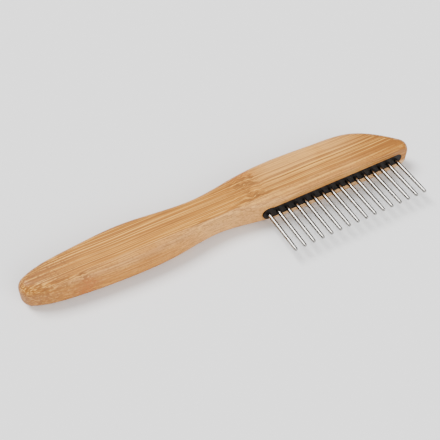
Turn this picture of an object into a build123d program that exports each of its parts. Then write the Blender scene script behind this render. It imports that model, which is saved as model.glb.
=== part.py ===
from build123d import *
import math
import os

# Pet grooming comb with rotating steel pins, in millimetres.
# A flat bamboo handle lies along X, with its face towards +Z. The row of pins is at
# the +X end and points towards -Y. The pins sit in a black bearing strip that is let
# into the edge of the head, and a second strip behind it keeps them in.
#
# The comb is drawn from the middle of the row of pins (X), the tips of the pins (Y)
# and the middle of the wood's thickness (Z). Every piece is moved at the end, so that
# the origin is the bottom centre of the comb's box as it lies on a table.

# --- driving dimensions ---
PIN_COUNT = 16
PIN_PITCH = 5.0
PIN_RADIUS = 1.0
PIN_TIP_RADIUS = 0.85
PIN_TAPER = 7.0  # length over which a pin narrows towards its tip
PIN_REACH = 24.5  # from the strip's face to the tips
PIN_CLEARANCE = 0.05  # radial, in the strip's bores
PIN_HEAD_RADIUS = 1.6
PIN_HEAD_HEIGHT = 1.0
HEAD_CLEARANCE = 0.1  # round and along each pin's head

WOOD_THICKNESS = 15.0
WOOD_ROUNDING = 5.0  # round the long edges
LIP_ROUNDING = 0.8  # on the edges of the face that carries the strip

STRIP_LENGTH = 82.0
STRIP_OFFSET = 0.5  # its middle lies this far past the middle of the pins
STRIP_HEIGHT = 7.0
STRIP_DEPTH = 5.0  # bearing strip, from its face to its back
RETAINER_DEPTH = 2.0
STRIP_GAP = 0.05  # glue gap between the strips and the slot

# --- the wood's outline, seen from above ---
HANDLE_END_CENTRE = (-151.2, 36.8)
HANDLE_END_RADIUS = 5.6
HANDLE_END_NEAR, HANDLE_END_FAR = 243.0, 118.0  # degrees, where the end's arc stops
HEAD_TIP_CENTRE = (40.8, 28.5)
HEAD_TIP_RADIUS = 5.4
HEAD_TIP_NEAR, HEAD_TIP_FAR = -84.0, 42.0
NEAR_SIDE = [
    (-136.0, 27.3),
    (-112.0, 25.4),
    (-84.0, 26.0),
    (-61.0, 28.4),
    (-41.0, 25.5),
    (8.0, 22.0),
]
FAR_SIDE = [
    (24.0, 47.8),
    (4.0, 50.3),
    (-18.0, 51.2),
    (-43.5, 49.7),
    (-66.0, 46.5),
    (-104.0, 49.0),
    (-131.0, 47.0),
]

SLOT_DEPTH = STRIP_DEPTH + RETAINER_DEPTH
HEAD_POCKET = PIN_HEAD_HEIGHT + 2 * HEAD_CLEARANCE


def on_circle(centre, radius, degrees):
    """The point of a circle at an angle from +X."""
    angle = math.radians(degrees)
    return (centre[0] + radius * math.cos(angle), centre[1] + radius * math.sin(angle))


def heading(degrees):
    """The direction of travel, counter-clockwise, at an angle on a circle."""
    angle = math.radians(degrees)
    return (-math.sin(angle), math.cos(angle))


def pin_places():
    """X of each pin's axis, from the handle's side to the tip."""
    first = -(PIN_COUNT - 1) / 2 * PIN_PITCH
    return [first + index * PIN_PITCH for index in range(PIN_COUNT)]


def wood_outline():
    """Closed outline: the handle's end, the near side, the head's tip, the far side."""
    end_near = on_circle(HANDLE_END_CENTRE, HANDLE_END_RADIUS, HANDLE_END_NEAR)
    end_far = on_circle(HANDLE_END_CENTRE, HANDLE_END_RADIUS, HANDLE_END_FAR)
    tip_near = on_circle(HEAD_TIP_CENTRE, HEAD_TIP_RADIUS, HEAD_TIP_NEAR)
    tip_far = on_circle(HEAD_TIP_CENTRE, HEAD_TIP_RADIUS, HEAD_TIP_FAR)
    with BuildSketch() as sketch:
        with BuildLine():
            CenterArc(
                HANDLE_END_CENTRE,
                HANDLE_END_RADIUS,
                HANDLE_END_FAR,
                HANDLE_END_NEAR - HANDLE_END_FAR,
            )
            Spline(
                [end_near] + NEAR_SIDE + [tip_near],
                tangents=[heading(HANDLE_END_NEAR), heading(HEAD_TIP_NEAR)],
                tangent_scalars=[1, 1],
            )
            CenterArc(
                HEAD_TIP_CENTRE,
                HEAD_TIP_RADIUS,
                HEAD_TIP_NEAR,
                HEAD_TIP_FAR - HEAD_TIP_NEAR,
            )
            Spline(
                [tip_far] + FAR_SIDE + [end_far],
                tangents=[heading(HEAD_TIP_FAR), heading(HANDLE_END_FAR)],
                tangent_scalars=[1, 1],
            )
        make_face()
    return sketch.sketch


def stadium(length, height, near, depth):
    """A bar with round ends, along X, from Y = near to Y = near + depth."""
    face = Plane.XZ * SlotOverall(length, height)
    bar = extrude(face, amount=-depth)
    return Pos(STRIP_OFFSET, near, 0) * bar


def on_y(radius, near, length, x=0.0, end_radius=None):
    """A round bar or cone along Y, from Y = near, at one X."""
    if end_radius is None:
        shape = Cylinder(radius, length)
    else:
        shape = Cone(radius, end_radius, length)
    return Pos(x, near + length / 2, 0) * Rot(X=-90) * shape


def handle():
    """The bamboo handle and head in one piece, with the slot for the strips."""
    wood = extrude(wood_outline(), amount=WOOD_THICKNESS / 2, both=True)
    rims = wood.faces().sort_by(Axis.Z)
    wood = fillet(rims[0].edges() + rims[-1].edges(), WOOD_ROUNDING)
    room = 100.0
    beyond = Pos(0, PIN_REACH - room / 2, 0) * Box(4 * room, room, room)
    wood = wood - beyond
    lip = wood.faces().filter_by(Axis.Y).sort_by(Axis.Y)[0]
    wood = fillet(lip.edges(), LIP_ROUNDING)
    return wood - stadium(STRIP_LENGTH, STRIP_HEIGHT, PIN_REACH - 1, SLOT_DEPTH + 1)


def pin_strip():
    """The bearing strip: a bore for each pin, widened at the back for the pin's head."""
    strip = stadium(
        STRIP_LENGTH - 2 * STRIP_GAP, STRIP_HEIGHT - 2 * STRIP_GAP, PIN_REACH, STRIP_DEPTH
    )
    back = PIN_REACH + STRIP_DEPTH
    for x in pin_places():
        strip -= on_y(PIN_RADIUS + PIN_CLEARANCE, PIN_REACH, STRIP_DEPTH, x)
        strip -= on_y(PIN_HEAD_RADIUS + HEAD_CLEARANCE, back - HEAD_POCKET, HEAD_POCKET, x)
    return strip


def retainer_strip():
    """The plain strip behind the bearing strip, which closes the heads' pockets."""
    return stadium(
        STRIP_LENGTH - 2 * STRIP_GAP,
        STRIP_HEIGHT - 2 * STRIP_GAP,
        PIN_REACH + STRIP_DEPTH,
        RETAINER_DEPTH,
    )


def pin(x):
    """One steel pin: a headed shank with a tapered end and a round tip."""
    head_back = PIN_REACH + STRIP_DEPTH - HEAD_CLEARANCE
    shank = on_y(PIN_RADIUS, PIN_TAPER, head_back - PIN_TAPER, x)
    head = on_y(PIN_HEAD_RADIUS, head_back - PIN_HEAD_HEIGHT, PIN_HEAD_HEIGHT, x)
    cone_length = PIN_TAPER - PIN_TIP_RADIUS
    cone = on_y(PIN_TIP_RADIUS, PIN_TIP_RADIUS, cone_length, x, PIN_RADIUS)
    tip = Pos(x, PIN_TIP_RADIUS, 0) * Sphere(PIN_TIP_RADIUS)
    return shank + head + cone + tip


parts = {
    "handle": handle(),
    "pin_strip": pin_strip(),
    "retainer_strip": retainer_strip(),
}
for number, place in enumerate(pin_places(), start=1):
    parts[f"pin_{number:02d}"] = pin(place)

# The pins' tips are at Y = 0 and the wood's far edge is the other side of the box.
wood_box = parts["handle"].bounding_box()
to_origin = Pos(-wood_box.center().X, -wood_box.max.Y / 2, WOOD_THICKNESS / 2)

os.makedirs("parts", exist_ok=True)
for name, piece in parts.items():
    export_step(to_origin * piece.solid(), f"parts/{name}.step")

print("length", wood_box.size.X, "width", wood_box.max.Y, "moved by", to_origin.position)
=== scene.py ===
import bpy
import math
from types import SimpleNamespace
from mathutils import Matrix, Vector

# A grooming comb: bamboo handle and head, black pin strip, sixteen turning steel pins.
# +X runs from the handle's end to the head's tip, the pins point to -Y, +Z is up.
# All lengths are in metres.

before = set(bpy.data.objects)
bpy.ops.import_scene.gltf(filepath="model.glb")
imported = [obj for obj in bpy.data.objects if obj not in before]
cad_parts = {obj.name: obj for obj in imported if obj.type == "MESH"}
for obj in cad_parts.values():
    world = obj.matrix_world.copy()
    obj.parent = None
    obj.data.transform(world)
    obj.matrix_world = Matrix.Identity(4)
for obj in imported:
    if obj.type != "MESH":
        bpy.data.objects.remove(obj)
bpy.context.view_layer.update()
MM = 0.001

# --- camera ---
VIEW_AZIMUTH = math.radians(31.04)  # clockwise from +Y, the way the camera looks
VIEW_ELEVATION = math.radians(50.54)
VIEW_ROLL = math.radians(2.08)
VIEW_DISTANCE = 376.5 * MM
VIEW_TARGET = Vector((-4.35 * MM, 6.75 * MM, 7.5 * MM))
FOCAL_LENGTH, SENSOR_WIDTH = 65.45, 36.0  # these two are given in millimetres
CLIP_NEAR, CLIP_FAR = 0.01, 20.0


def add_camera():
    forward = Vector(
        (
            math.sin(VIEW_AZIMUTH) * math.cos(VIEW_ELEVATION),
            math.cos(VIEW_AZIMUTH) * math.cos(VIEW_ELEVATION),
            -math.sin(VIEW_ELEVATION),
        )
    )
    data = bpy.data.cameras.new("camera")
    data.lens = FOCAL_LENGTH
    data.sensor_width = SENSOR_WIDTH
    data.clip_start = CLIP_NEAR
    data.clip_end = CLIP_FAR
    camera = bpy.data.objects.new("camera", data)
    bpy.context.scene.collection.objects.link(camera)
    turn = forward.to_track_quat("-Z", "Y").to_matrix() @ Matrix.Rotation(VIEW_ROLL, 3, "Z")
    camera.matrix_world = Matrix.Translation(VIEW_TARGET - forward * VIEW_DISTANCE) @ turn.to_4x4()
    bpy.context.scene.camera = camera


# --- node helpers ---


class Nodes:
    """A material's or world's node tree, with one short method for each kind of node."""

    def __init__(self, owner):
        owner.use_nodes = True
        self.tree = owner.node_tree

    def add(self, kind, inputs=(), **settings):
        node = self.tree.nodes.new(kind)
        for name, value in settings.items():
            setattr(node, name, value)
        for key, value in dict(inputs).items():
            self.feed(node.inputs[key], value)
        return node

    def feed(self, socket, value):
        if isinstance(value, bpy.types.NodeSocket):
            self.tree.links.new(value, socket)
        else:
            socket.default_value = value

    def math(self, operation, a, b=0.0, clamp=False):
        node = self.add("ShaderNodeMath", {0: a, 1: b}, operation=operation, use_clamp=clamp)
        return node.outputs[0]

    def times(self, *values):
        product = values[0]
        for value in values[1:]:
            product = self.math("MULTIPLY", product, value)
        return product

    def greater(self, a, b):
        return self.math("MAXIMUM", a, b)

    def rest_of(self, part):
        """What is left of 1."""
        return self.math("SUBTRACT", 1.0, part)

    def bell(self, value, middle, width):
        """1 at the middle, falling smoothly to 0 about two widths away."""
        off = self.math("DIVIDE", self.math("SUBTRACT", value, middle), width)
        return self.math("POWER", math.e, self.times(off, off, -1.0))

    def ramp(self, value, start, full, at_start=0.0, at_full=1.0):
        """A smooth step. The value may rise or fall from start to full."""
        inputs = {
            "Value": value,
            "From Min": start,
            "From Max": full,
            "To Min": at_start,
            "To Max": at_full,
        }
        node = self.add("ShaderNodeMapRange", inputs, interpolation_type="SMOOTHSTEP")
        return node.outputs[0]

    def vector(self, x, y, z):
        return self.add("ShaderNodeCombineXYZ", {0: x, 1: y, 2: z}).outputs[0]

    def noise(self, vector, scale=1.0, detail=2.0, roughness=0.5):
        inputs = {"Vector": vector, "Scale": scale, "Detail": detail, "Roughness": roughness}
        return self.add("ShaderNodeTexNoise", inputs).outputs["Fac"]

    def sway(self, vector, scale=1.0, detail=2.0):
        """Noise about 0, from -0.5 to 0.5."""
        return self.math("SUBTRACT", self.noise(vector, scale, detail), 0.5)

    def mix(self, factor, a, b):
        node = self.add("ShaderNodeMix", data_type="RGBA")
        self.feed(node.inputs[0], factor)
        self.feed(node.inputs[6], a)
        self.feed(node.inputs[7], b)
        return node.outputs[2]

    def place(self):
        """The point on the piece, whole and as X, Y and Z. It turns with the piece."""
        where = self.add("ShaderNodeTexCoord").outputs["Object"]
        split = self.add("ShaderNodeSeparateXYZ", {0: where})
        return where, split.outputs[0], split.outputs[1], split.outputs[2]

    def bump(self, height, distance, strength):
        inputs = {"Height": height, "Distance": distance, "Strength": strength}
        return self.add("ShaderNodeBump", inputs).outputs[0]


def new_material(name):
    material = bpy.data.materials.new(name)
    nodes = Nodes(material)
    return material, nodes, nodes.tree.nodes["Principled BSDF"]


def grey(value):
    return (value, value, value, 1.0)


# --- bamboo ---
STRAW = (0.58, 0.235, 0.022, 1.0)
HONEY = (0.43, 0.155, 0.013, 1.0)
# pale pink: the head's own paler tone, and the painted highlight on the near strip
PINK_TONE_AND_HIGHLIGHT = (0.69, 0.355, 0.11, 1.0)
FIBRE = (0.21, 0.075, 0.013, 1.0)
CREAM = (0.86, 0.45, 0.085, 1.0)
RUST = (0.42, 0.125, 0.014, 1.0)
# painted light: the pale colour the shaded lip under the pin strip is painted with
LIP_PAINTED_LIGHT = (0.80, 0.50, 0.24, 1.0)
WOOD_SPECULAR = 0.35

# Features with a middle and a width.
GLUE_LINE, GLUE_WIDTH = 4.6 * MM, 0.15 * MM  # Y of the joint between the two laminated strips
STRIP_BLEND = 0.3 * MM  # how far to each side of the joint the strips' looks mix
NODE_X, NODE_WIDTH = 14.0 * MM, 8.0 * MM  # the knuckle across the far strip, at the neck
END_NODE_X, END_NODE_WIDTH = -74.0 * MM, 4.5 * MM  # the knuckle in the near strip
RING_Y, RING_WIDTH = 10.0 * MM, 6.0 * MM  # the fine lines lie about the middle of the face
NECK_X, NECK_WIDTH = -8.0 * MM, 22.0 * MM  # the painted highlight on the near strip is strongest here
MIDDLE_Z = 7.5 * MM  # the middle of the board

# Ramps over a place: where a zone starts, where it is full, and its strength at each
# where those aren't 0 and 1.
HEAD_X = (5.0 * MM, 35.0 * MM)
HEAD_PALE_Y = (4.0 * MM, 20.0 * MM, 0.25, 0.75)
GRIP_X = (-8.0 * MM, -30.0 * MM)
UNDER_FACE_Z = (13.0 * MM, 10.5 * MM)
SIDE_Z = (6.5 * MM, 3.5 * MM)  # distances from the middle of the board
TIP_X = (62.0 * MM, 92.0 * MM)
END_X = (-70.0 * MM, -95.0 * MM)
SPECKLED_X = (-68.0 * MM, -84.0 * MM)
RING_X = (20.0 * MM, 35.0 * MM, 0.2, 0.95)
LOW_EDGE_Y, LOW_EDGE_Z = (3.0 * MM, 1.0 * MM), (14.8 * MM, 13.0 * MM)
FAR_EDGE_Y = (17.0 * MM, 23.0 * MM)
LIP_X, LIP_Y, LIP_Z = (14.0 * MM, 20.0 * MM), (2.0 * MM, 0.5 * MM), (6.0 * MM, 4.0 * MM)

# Ramps over a grain's noise, in the same form: which of its values show.
BROAD_TONES = (0.15, 0.85)
PATCHES = (0.45, 0.70, 0.0, 0.40)
PALE_LINES = (0.49, 0.38)
DARK_LINES = (0.505, 0.61)
DARK_RINGS = (0.82, 0.97)
FINE_FIBRES = (0.50, 0.70, 0.0, 0.35)
SPECKS = (0.50, 0.66)
DASHES = (0.45, 0.54)
RUST_SPECKS = (0.35, 0.65, 0.35, 0.95)
LINE_GLOSS = (0.3, 0.7, 0.46, 0.58)  # gives the roughness

# Grain: cycles per metre along the fibres and across them, the noise's detail and roughness.
BROAD_GRAIN = (8.0, 380.0, 2.0, 0.55)
LINE_GRAIN = (13.0, 1750.0, 2.0, 0.60)
FINE_GRAIN = (50.0, 2700.0, 1.0, 0.55)
DASH_GRAIN = (230.0, 1500.0, 1.0, 0.55)
RING_STRETCH = (0.04, 0.3)  # of the growth lines' pattern, along X and Z
RING_PATTERN = {"Scale": 150.0, "Distortion": 5.0, "Detail": 2.0, "Detail Scale": 1.0}
# Noise with no direction: cycles per metre, detail.
STIPPLE = (950.0, 3.0)
CLOUDS = (60.0, 2.0)
KNUCKLE_WANDER = (150.0, 2.0)
SWERVE = (170.0, 2.0)
DRIFT_ALONG = 22.0  # cycles per metre along X, one across
# How far each of these moves a feature, from one end of its swing to the other.
WANDER_REACH, DRIFT_REACH, SWERVE_REACH = 14.0 * MM, 1.6 * MM, 5.0 * MM

# How strongly a feature shows, from 0 to 1.
# the near strip's painted pinkish highlight, its painted extra at the neck, and how much of it the
# grip's side below the face loses
NEAR_PAINTED_HIGHLIGHT, NECK_PAINTED_HIGHLIGHT, GRIP_SIDE_HIGHLIGHT_CUT = 0.42, 0.40, 0.40
TIP_HONEY, END_HONEY, ENDS_DARK = 0.90, 0.85, 0.34
WEAK_LINES, STRONG_LINES = 0.50, 0.75
SIDE_FADE, DARK_LINE_SHARE = 0.5, 0.9
FAR_SPECKS, NEAR_SPECKS, END_SPECKS = 0.10, 0.34, 0.65
KNUCKLE_DASHES = 0.9
# how strongly the lip under the pin strip is painted paler (painted light), and the glue line's
# darkness
LIP_LIGHT_STRENGTH, GLUE_DARK = 0.6, 0.3
LINE_RELIEF, DASH_RELIEF = 0.7, 0.3
WOOD_BUMP = (0.12 * MM, 0.4)  # depth, strength


def board_zones(nodes):
    """The place on the board and how far it lies in each zone, from 0 to 1."""
    where, x, y, z = nodes.place()
    far = nodes.ramp(y, GLUE_LINE - STRIP_BLEND, GLUE_LINE + STRIP_BLEND)
    near = nodes.rest_of(far)
    wander = nodes.times(nodes.sway(where, *KNUCKLE_WANDER), WANDER_REACH)
    x_bent = nodes.math("ADD", x, wander)
    knuckle = nodes.times(nodes.bell(x_bent, NODE_X, NODE_WIDTH), far)
    end_knuckle = nodes.times(nodes.bell(x_bent, END_NODE_X, END_NODE_WIDTH), near)
    from_middle = nodes.math("ABSOLUTE", nodes.math("SUBTRACT", z, MIDDLE_Z))
    return SimpleNamespace(
        where=where,
        x=x,
        y=y,
        z=z,
        far=far,
        near=near,
        head=nodes.ramp(x, *HEAD_X),
        grip_side=nodes.times(nodes.ramp(x, *GRIP_X), near, nodes.ramp(z, *UNDER_FACE_Z)),
        side=nodes.ramp(from_middle, *SIDE_Z),
        rings=nodes.bell(y, RING_Y, RING_WIDTH),
        knuckles=nodes.math("ADD", knuckle, end_knuckle, clamp=True),
    )


def bamboo_grain(nodes, zone):
    """The grain's noises. The fibres run along X, drift a little and swerve at the knuckles."""
    stretched = nodes.vector(nodes.times(zone.x, DRIFT_ALONG), zone.y, zone.z)
    drift = nodes.times(nodes.sway(stretched, detail=1.0), DRIFT_REACH)
    swerve = nodes.times(nodes.sway(zone.where, *SWERVE), zone.knuckles, SWERVE_REACH)
    y_bent = nodes.math("ADD", zone.y, nodes.math("ADD", drift, swerve))

    def streaks(along, across, detail, roughness):
        stretch = ((zone.x, along), (y_bent, across), (zone.z, across))
        parts = [nodes.times(value, rate) for value, rate in stretch]
        return nodes.noise(nodes.vector(*parts), 1.0, detail, roughness)

    ring_x, ring_z = (nodes.times(v, k) for v, k in zip((zone.x, zone.z), RING_STRETCH))
    ring_inputs = {"Vector": nodes.vector(ring_x, y_bent, ring_z), **RING_PATTERN}
    return SimpleNamespace(
        broad=streaks(*BROAD_GRAIN),
        lines=streaks(*LINE_GRAIN),
        fine=streaks(*FINE_GRAIN),
        dashes=streaks(*DASH_GRAIN),
        stipple=nodes.noise(zone.where, *STIPPLE),
        patches=nodes.noise(zone.where, *CLOUDS),
        rings=nodes.add("ShaderNodeTexWave", ring_inputs, bands_direction="Y").outputs["Fac"],
    )


def ground_colour(nodes, zone, grain):
    """Warm on the handle, paler and pinker on the head, with a painted pale pink highlight on the
    near strip, dark at the ends.
    """
    colour = nodes.mix(nodes.ramp(grain.broad, *BROAD_TONES), HONEY, STRAW)
    # Painted highlight: the near strip (the near shoulder and side) is mixed towards pale pink,
    # most at the neck, least on the grip's side below the face.
    neck_highlight = nodes.times(nodes.bell(zone.x, NECK_X, NECK_WIDTH), NECK_PAINTED_HIGHLIGHT)
    near = nodes.math("ADD", NEAR_PAINTED_HIGHLIGHT, neck_highlight)
    near = nodes.math("SUBTRACT", near, nodes.times(zone.grip_side, GRIP_SIDE_HIGHLIGHT_CUT))
    head = nodes.times(zone.head, nodes.ramp(zone.y, *HEAD_PALE_Y))
    colour = nodes.mix(nodes.greater(nodes.times(zone.near, near), head), colour, PINK_TONE_AND_HIGHLIGHT)
    colour = nodes.mix(nodes.ramp(grain.patches, *PATCHES), colour, HONEY)
    colour = nodes.mix(nodes.ramp(zone.x, *TIP_X, 0.0, TIP_HONEY), colour, HONEY)
    colour = nodes.mix(nodes.ramp(zone.x, *END_X, 0.0, END_HONEY), colour, HONEY)
    ends = nodes.greater(nodes.ramp(zone.x, *TIP_X), nodes.ramp(zone.x, *END_X))
    return nodes.mix(nodes.times(ends, ENDS_DARK), colour, FIBRE)


def draw_lines(nodes, zone, grain, colour):
    """Long lines: strong along the handle and the middle of the head, faint elsewhere."""
    strong = nodes.greater(nodes.times(zone.far, nodes.rest_of(zone.head)), zone.rings)
    strong = nodes.greater(strong, zone.grip_side)
    strength = nodes.ramp(strong, 0.0, 1.0, WEAK_LINES, STRONG_LINES)
    depth = nodes.times(strength, nodes.rest_of(nodes.times(zone.side, SIDE_FADE)))
    pale = nodes.times(nodes.ramp(grain.lines, *PALE_LINES), depth)
    dark = nodes.times(nodes.ramp(grain.lines, *DARK_LINES), depth, DARK_LINE_SHARE)
    colour = nodes.mix(dark, nodes.mix(pale, colour, CREAM), FIBRE)
    ring_depth = nodes.times(zone.rings, nodes.ramp(zone.x, *RING_X))
    rings = nodes.times(nodes.ramp(grain.rings, *DARK_RINGS), ring_depth)
    colour = nodes.mix(rings, colour, FIBRE)
    return nodes.mix(nodes.ramp(grain.fine, *FINE_FIBRES), colour, FIBRE)


def draw_marks(nodes, zone, grain, colour):
    """Specks of cut fibre, the knuckles, painted light on the lip under the pin strip and the glue
    line.
    """
    near_specks = nodes.ramp(zone.near, 0.0, 1.0, FAR_SPECKS, NEAR_SPECKS)
    end_specks = nodes.times(nodes.ramp(zone.x, *SPECKLED_X), END_SPECKS)
    speckled = nodes.greater(near_specks, end_specks)
    specks = nodes.times(nodes.ramp(grain.stipple, *SPECKS), speckled)
    colour = nodes.mix(specks, colour, FIBRE)
    # the knuckles are dark dashes, rust-red where they meet the rounded edges
    dashes = nodes.times(nodes.ramp(grain.dashes, *DASHES), zone.knuckles, KNUCKLE_DASHES)
    colour = nodes.mix(dashes, colour, FIBRE)
    low_edge = nodes.times(nodes.ramp(zone.y, *LOW_EDGE_Y), nodes.ramp(zone.z, *LOW_EDGE_Z))
    edge = nodes.greater(nodes.ramp(zone.y, *FAR_EDGE_Y), low_edge)
    rust = nodes.times(zone.knuckles, edge, nodes.ramp(grain.stipple, *RUST_SPECKS))
    colour = nodes.mix(rust, colour, RUST)
    # painted light: the lip under the pin strip lies in shade and is painted paler
    lip_light_mask = [nodes.ramp(zone.x, *LIP_X), nodes.ramp(zone.y, *LIP_Y), nodes.ramp(zone.z, *LIP_Z)]
    colour = nodes.mix(nodes.times(*lip_light_mask, LIP_LIGHT_STRENGTH), colour, LIP_PAINTED_LIGHT)
    glue = nodes.times(nodes.bell(zone.y, GLUE_LINE, GLUE_WIDTH), GLUE_DARK)
    return nodes.mix(glue, colour, FIBRE)


def bamboo():
    """Board of two laminated strips, a warm far one and a near one with a painted pale pink
    highlight.
    """
    material, nodes, shader = new_material("bamboo")
    zone = board_zones(nodes)
    grain = bamboo_grain(nodes, zone)
    colour = ground_colour(nodes, zone, grain)
    colour = draw_lines(nodes, zone, grain, colour)
    colour = draw_marks(nodes, zone, grain, colour)
    nodes.feed(shader.inputs["Base Color"], colour)
    nodes.feed(shader.inputs["Roughness"], nodes.ramp(grain.lines, *LINE_GLOSS))
    shader.inputs["Specular IOR Level"].default_value = WOOD_SPECULAR
    line_relief = nodes.times(grain.lines, LINE_RELIEF)
    relief = nodes.math("ADD", line_relief, nodes.times(grain.dashes, DASH_RELIEF))
    nodes.feed(shader.inputs["Normal"], nodes.bump(relief, *WOOD_BUMP))
    return material


# --- plastic and steel, with the numbers in the same forms as the bamboo's ---
PLASTIC_DARK, PLASTIC_LIGHT = (0.004, 0.0025, 0.002, 1.0), (0.009, 0.006, 0.005, 1.0)
PLASTIC_CLOUD, PLASTIC_GRAIN = (220.0, 3.0), (4200.0, 2.0)
PLASTIC_GLOSS = (0.3, 0.7, 0.42, 0.55)
PLASTIC_BUMP = (0.03 * MM, 0.6)
PLASTIC_SPECULAR = 0.15
STEEL_DARK, STEEL_LIGHT = (0.25, 0.24, 0.225, 1.0), (0.34, 0.325, 0.305, 1.0)
STEEL_RIM = 0.02  # what it reflects at a grazing angle
STEEL_CLOUD = (300.0, 2.0)
DRAWN_ACROSS, DRAWN_ALONG = 6000.0, 120.0
STEEL_GLOSS = (0.25, 0.75, 0.12, 0.22)
STEEL_BUMP = (0.01 * MM, 0.3)


def black_plastic():
    material, nodes, shader = new_material("black_plastic")
    where = nodes.place()[0]
    cloud = nodes.noise(where, *PLASTIC_CLOUD)
    nodes.feed(shader.inputs["Base Color"], nodes.mix(cloud, PLASTIC_DARK, PLASTIC_LIGHT))
    grain = nodes.noise(where, *PLASTIC_GRAIN)
    nodes.feed(shader.inputs["Roughness"], nodes.ramp(grain, *PLASTIC_GLOSS))
    nodes.feed(shader.inputs["Normal"], nodes.bump(grain, *PLASTIC_BUMP))
    shader.inputs["Specular IOR Level"].default_value = PLASTIC_SPECULAR
    return material


def steel():
    """Drawn and polished rod: fine lines along Y and slightly uneven gloss."""
    material, nodes, shader = new_material("steel")
    where, x, y, z = nodes.place()
    stretch = ((x, DRAWN_ACROSS), (y, DRAWN_ALONG), (z, DRAWN_ACROSS))
    drawn = nodes.noise(nodes.vector(*(nodes.times(value, rate) for value, rate in stretch)))
    cloud = nodes.noise(where, *STEEL_CLOUD)
    nodes.feed(shader.inputs["Base Color"], nodes.mix(cloud, STEEL_DARK, STEEL_LIGHT))
    shader.inputs["Metallic"].default_value = 1.0
    shader.inputs["Specular Tint"].default_value = grey(STEEL_RIM)
    nodes.feed(shader.inputs["Roughness"], nodes.ramp(drawn, *STEEL_GLOSS))
    nodes.feed(shader.inputs["Normal"], nodes.bump(drawn, *STEEL_BUMP))
    return material


def paint_frame():
    """Gives every piece of the comb its material. The pieces keep their shapes."""
    finishes = {"handle": bamboo(), "pin_strip": black_plastic()}
    finishes["retainer_strip"] = finishes["pin_strip"]
    pin_finish = steel()
    for name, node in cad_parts.items():
        for slot in node.material_slots:
            slot.material = finishes.get(name, pin_finish)


# --- studio ---
# Ramps over the height in the sky, 0 at the horizon and 1 overhead, that give its brightness.
HORIZON_GLOW = (0.02, 0.08, 2.0, 0.1)
ZENITH_GLOW = (0.1, 0.9, 0.0, 0.5)
FLOOR_REACH = 40.0
FLOOR_TONE = 0.93


def add_soft_light(name, elevation, azimuth, width, strength):
    """Light from a disc in the sky, width across. In degrees, azimuth clockwise from +Y."""
    height, around = math.radians(elevation), math.radians(azimuth)
    flat = math.cos(height)
    towards = Vector((math.sin(around) * flat, math.cos(around) * flat, math.sin(height)))
    data = bpy.data.lights.new(name, "SUN")
    data.angle = math.radians(width)
    data.energy = strength
    lamp = bpy.data.objects.new(name, data)
    bpy.context.scene.collection.objects.link(lamp)
    lamp.location = towards
    lamp.rotation_mode = "QUATERNION"
    lamp.rotation_quaternion = (-towards).to_track_quat("-Z", "Y")


def add_world():
    """A white sky, pale at the horizon like the floor and dim just above it.

    The dim band gives the steel pins their dark edges.
    """
    world = bpy.data.worlds.new("studio")
    nodes = Nodes(world)
    background = nodes.tree.nodes["Background"]
    background.inputs["Color"].default_value = grey(1.0)
    direction = nodes.add("ShaderNodeTexCoord").outputs["Generated"]
    height = nodes.add("ShaderNodeSeparateXYZ", {0: direction}).outputs[2]
    horizon = nodes.ramp(height, *HORIZON_GLOW)
    zenith = nodes.ramp(height, *ZENITH_GLOW)
    nodes.feed(background.inputs["Strength"], nodes.math("ADD", horizon, zenith))
    bpy.context.scene.world = world


def add_floor():
    mesh = bpy.data.meshes.new("floor")
    reach = FLOOR_REACH
    corners = [(-reach, -reach, 0), (reach, -reach, 0), (reach, reach, 0), (-reach, reach, 0)]
    mesh.from_pydata(corners, [], [(0, 1, 2, 3)])
    floor = bpy.data.objects.new("floor", mesh)
    bpy.context.scene.collection.objects.link(floor)
    material, _, shader = new_material("floor_white")
    shader.inputs["Base Color"].default_value = grey(FLOOR_TONE)
    shader.inputs["Roughness"].default_value = 1.0
    shader.inputs["Specular IOR Level"].default_value = 0.0
    mesh.materials.append(material)


def add_studio():
    add_world()
    add_soft_light("key", elevation=58, azimuth=-38, width=30, strength=4.5)
    add_soft_light("fill", elevation=33, azimuth=168, width=44, strength=2.7)
    add_floor()


add_camera()
add_studio()
paint_frame()
